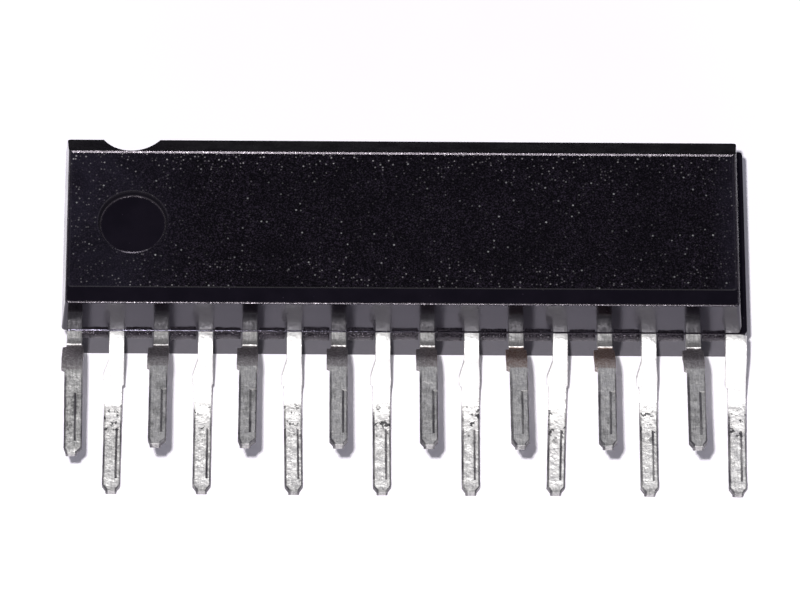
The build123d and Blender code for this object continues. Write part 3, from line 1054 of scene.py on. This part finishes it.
def sink_dimple(bm, sizes, leads, rim):
    """Fill the panel up to the pin 1 dimple, and sink the dimple in rings."""
    total, sink = mm(BODY_HIGH.z), mm(sizes.panel_sink)
    front = total - mm(sizes.back_half)
    face_low = mm(sizes.ledge) + front * tan(sizes.long_draft) - mm(BODY_HIGH.y)
    centre = Vector((mark_x(sizes, leads), face_low + mm(sizes.dimple_height), total - sink))
    radius, depth = mm(sizes.dimple_radius), mm(sizes.dimple_depth)
    across = radius + 0.045
    ring = bmesh.ops.create_circle(bm, cap_ends=False, radius=across, segments=96,
                                   matrix=Matrix.Translation(centre))["verts"]
    edges = list({edge for vert in ring for edge in vert.link_edges})
    filled = bmesh.ops.triangle_fill(bm, use_beauty=True, use_dissolve=False, edges=rim + edges,
                                     normal=(0, 0, 1))["geom"]
    for item in of_kind(filled, bmesh.types.BMFace):
        item.material_index = MATT
    before = set(bm.faces)
    profile = ((0.014, 0.015), (0.006, 0.015), (0.0, 0.006), (-0.030, -depth + 0.065),
               (-0.042, -depth + 0.026), (-0.060, -depth + 0.008), (-0.085, -depth), (-0.20, -depth))
    for grow, drop in profile:
        edges = extrude_loop(bm, edges)
        verts = list({vert for edge in edges for vert in edge.verts})
        factor = (radius + grow) / across
        across = radius + grow
        bmesh.ops.scale(bm, vec=(factor, factor, 1), verts=verts,
                        space=Matrix.Translation(-centre))
        for vert in verts:
            vert.co.z = centre.z + drop + (sink if drop < -0.01 else 0)
    close(bm, edges)
    for face in set(bm.faces) - before:
        face.normal_update()
        outside = (face.calc_center_median() - centre).xy.length > radius + 0.012
        rubbed = 0.5 < abs(face.normal.z) < 0.96
        face.material_index = MATT if outside else WORN if rubbed else SMOOTH


def notch_cutter(sizes, leads, face_top):
    """The slanting round bar that scoops the notch out of the bevel."""
    bm = bmesh.new()
    radius, tilt = mm(sizes.notch_radius), sizes.notch_tilt
    bmesh.ops.create_cone(bm, cap_ends=True, segments=96, radius1=radius, radius2=radius, depth=16)
    y = face_top + 0.004 + radius / cos(tilt)
    place = Matrix.Translation((mark_x(sizes, leads) - 0.09, y, mm(BODY_HIGH.z)))
    bmesh.ops.transform(bm, matrix=place @ Matrix.Rotation(tilt, 4, "X"), verts=bm.verts)
    return bm


def subtract(bm, cutter):
    """The first mesh without the second."""
    keep, tool = bpy.data.meshes.new("keep"), bpy.data.meshes.new("tool")
    bm.to_mesh(keep)
    cutter.to_mesh(tool)
    bm.free()
    cutter.free()
    body, knife = (bpy.data.objects.new(m.name, m) for m in (keep, tool))
    for item in (body, knife):
        bpy.context.scene.collection.objects.link(item)
    cut = body.modifiers.new("cut", "BOOLEAN")
    cut.object, cut.operation, cut.solver = knife, "DIFFERENCE", "EXACT"
    bpy.context.view_layer.update()
    shaped = bpy.data.meshes.new_from_object(body.evaluated_get(bpy.context.evaluated_depsgraph_get()))
    result = bmesh.new()
    result.from_mesh(shaped)
    for item, mesh in ((body, keep), (knife, tool)):
        bpy.data.objects.remove(item)
        bpy.data.meshes.remove(mesh)
    bpy.data.meshes.remove(shaped)
    return result


def everything_on(verts):
    """The given points with their edges and faces."""
    faces = {face for vert in verts for face in vert.link_faces}
    return [*verts, *{edge for face in faces for edge in face.edges}, *faces]


def slice_across(bm, geom, places, normal=(1, 0, 0)):
    """Cut geometry by planes, which leaves rows of points for an uneven edge."""
    for place in places:
        geom = bmesh.ops.bisect_plane(bm, geom=geom, dist=1e-6, plane_co=place,
                                      plane_no=normal)["geom"]
    return geom


def add_webs(bm, sizes, leads):
    """Resin that has crept out between the leads."""
    part, deep = mm(sizes.back_half), mm(sizes.web_depth)
    gap, rounding, cuts = mm(leads.pitch) - mm(leads.neck_width) - 0.10, 0.035, 9
    edge_y = -mm(BODY_HIGH.y)
    for index in range(len(LEAD_NAMES) - 1):
        x = (lead_x(index, mm(leads.pitch)) + lead_x(index + 1, mm(leads.pitch))) / 2
        reach = deep * (0.72 + 0.26 * noise.random())
        made = bmesh.ops.create_cube(bm, size=1)["verts"]
        thick = mm(leads.thickness)
        bmesh.ops.scale(bm, vec=(gap, reach + 0.1, thick - 0.012), verts=made)
        centre = (x, edge_y + 0.05 - reach / 2, part - 0.012 - thick / 2 + 0.006)
        bmesh.ops.translate(bm, vec=centre, verts=made)
        edges = list({edge for vert in made for edge in vert.link_edges})
        made = bmesh.ops.bevel(bm, geom=edges, affect="EDGES", offset=rounding, segments=3,
                               profile=0.5, material=-1)["faces"]
        left, flat = x - gap / 2 + rounding, gap - 2 * rounding
        geom = everything_on({vert for face in made for vert in face.verts})
        geom = slice_across(bm, geom, [(left + flat * cut / cuts, 0, 0) for cut in range(1, cuts)])
        for face in of_kind(geom, bmesh.types.BMFace):
            face.material_index = WORN
        for vert in of_kind(geom, bmesh.types.BMVert):
            if vert.co.y < edge_y - 0.06:
                vert.co.y += 0.022 * noise.noise(Vector((vert.co.x * 5, 0, vert.co.z * 2)))


def add_flash(bm, sizes, leads):
    """Thin flash along the parting plane, with a rubbed and uneven outer edge."""
    part, edge_y, shift = mm(sizes.back_half), -mm(BODY_HIGH.y), mm(sizes.back_shift)
    length, cuts = half_ends(sizes, leads)[0] - 0.12, 80
    made = bmesh.ops.create_cube(bm, size=1)["verts"]
    bmesh.ops.scale(bm, vec=(length, 0.075, 0.036), verts=made)
    bmesh.ops.translate(bm, vec=(shift, edge_y - 0.0055, part - 0.004), verts=made)
    geom = slice_across(bm, everything_on(made), [(0, edge_y - 0.010, 0)], normal=(0, 1, 0))
    geom = slice_across(bm, geom, [(shift - length / 2 + length * cut / cuts, 0, 0)
                                   for cut in range(1, cuts)])
    for vert in of_kind(geom, bmesh.types.BMVert):
        if vert.co.y < edge_y - 0.03:
            vert.co.y += 0.012 * noise.noise(Vector((vert.co.x * 3, 0, 0)))
            if vert.co.z > part:
                vert.co.z -= 0.030
    for face in of_kind(geom, bmesh.types.BMFace):
        face.normal_update()
        face.material_index = WORN if face.normal.z > 0.3 and face.normal.y < -0.3 else SMOOTH


class CHIP_OT_moulded_body(bpy.types.Operator):
    """Mould the body with its panel, bevel, notch and dimple"""
    bl_idname = "chip.moulded_body"
    bl_label = "Moulded body"

    def execute(self, context):
        sizes, leads = context.scene.chip_body, context.scene.chip_leads
        noise.seed_set(7)
        bm, face_top = mould_block(sizes, leads)
        sink_dimple(bm, sizes, leads, let_in_panel(bm, sizes))
        bmesh.ops.recalc_face_normals(bm, faces=bm.faces)
        bm = subtract(bm, notch_cutter(sizes, leads, face_top))
        for face in bm.faces:
            slopes = min(face.normal.y, face.normal.z) > 0.1
            if slopes and face.calc_center_median().y > face_top - 0.05:
                face.material_index = DULLED
        add_webs(bm, sizes, leads)
        add_flash(bm, sizes, leads)
        finishes = [compound_finish(), panel_finish(), dull_finish(), worn_finish()]
        keep_piece("shaped_body", bm, finishes,
                   ["moulded_body"], sharp=24, flat=(MATT,))
        return {"FINISHED"}


class CHIP_OT_inside(bpy.types.Operator):
    """Finish the paddle, the die and its bond wires inside the body"""
    bl_idname = "chip.inside"
    bl_label = "Inner parts"

    def execute(self, context):
        for name, finish in (("die_paddle", strip_finish), ("die_attach", adhesive_finish),
                             ("silicon_die", silicon_finish), ("bond_wires", gold_finish)):
            dress(name, finish())
        return {"FINISHED"}


def put_in_place(name, data, place, turn):
    """A lamp or camera at a place, turned by a quaternion."""
    item = bpy.data.objects.new(name, data)
    item.location = place
    item.rotation_mode = "QUATERNION"
    item.rotation_quaternion = turn
    bpy.context.scene.collection.objects.link(item)
    return item


def camera_axes(stage):
    """Directions to the camera's right, up in its picture and back from what it sees."""
    lean = pi / 2 - stage.elevation
    yaw = Matrix.Rotation(stage.yaw, 3, "Y")
    back = yaw @ Vector((0, -sin(lean), cos(lean)))
    right = yaw @ Vector((1, 0, 0))
    up = back.cross(right)
    roll = Matrix.Rotation(stage.roll, 3, back)
    return roll @ right, roll @ up, back


class CHIP_OT_stage(bpy.types.Operator):
    """Lay the paper sheet, light it and set the camera"""
    bl_idname = "chip.stage"
    bl_label = "Stage"

    def execute(self, context):
        scene, stage = context.scene, context.scene.chip_stage
        bm = bmesh.new()
        bmesh.ops.create_grid(bm, x_segments=1, y_segments=1, size=1.0)
        mesh = bpy.data.meshes.new("paper_sheet")
        bm.to_mesh(mesh)
        bm.free()
        sheet = bpy.data.objects.new("paper_sheet", mesh)
        scene.collection.objects.link(sheet)
        sheet.location.z = -0.01 * MM
        mesh.materials.append(paper_finish())

        key = bpy.data.lights.new("key_light", "AREA")
        key.shape, key.size, key.energy = "DISK", stage.lamp_size, stage.key
        towards_lamp = Vector(stage.lamp_place) - Vector(stage.lamp_aim)
        put_in_place("key_light", key, stage.lamp_place, towards_lamp.to_track_quat("Z", "Y"))

        scene.world = room_finish(stage)

        camera = bpy.data.cameras.new("camera")
        camera.sensor_width = 36
        camera.lens = camera.sensor_width * stage.distance / stage.view_width
        camera.clip_start, camera.clip_end = 0.01, 5
        right, up, back = camera_axes(stage)
        place = (Vector(stage.aim) - right * stage.slide - up * stage.sink
                 + back * stage.distance)
        turn = Matrix((right, up, back)).transposed().to_quaternion()
        scene.camera = put_in_place("camera", camera, place, turn)
        scene.view_settings.view_transform = "Standard"
        return {"FINISHED"}


class CHIP_PT_panel(bpy.types.Panel):
    """Steps of the chip in the sidebar"""
    bl_idname = "CHIP_PT_panel"
    bl_label = "Zigzag package"
    bl_space_type = "VIEW_3D"
    bl_region_type = "UI"
    bl_category = "Chip"

    def draw(self, context):
        for step in OPERATORS:
            self.layout.operator(step.bl_idname)


SETTINGS = {"chip_body": ChipBodySettings, "chip_leads": ChipLeadSettings,
            "chip_finish": ChipFinishSettings, "chip_stage": ChipStageSettings}
OPERATORS = (CHIP_OT_stage, CHIP_OT_moulded_body, CHIP_OT_leads, CHIP_OT_inside)
CLASSES = (*SETTINGS.values(), *OPERATORS, CHIP_PT_panel)


def register():
    for cls in CLASSES:
        bpy.utils.register_class(cls)
    for name, cls in SETTINGS.items():
        setattr(bpy.types.Scene, name, PointerProperty(type=cls))


def unregister():
    for name in SETTINGS:
        delattr(bpy.types.Scene, name)
    for cls in reversed(CLASSES):
        bpy.utils.unregister_class(cls)


def main():
    register()
    bpy.ops.chip.stage()
    bpy.ops.chip.moulded_body()
    bpy.ops.chip.leads()
    bpy.ops.chip.inside()


if __name__ == "__main__":
    main()
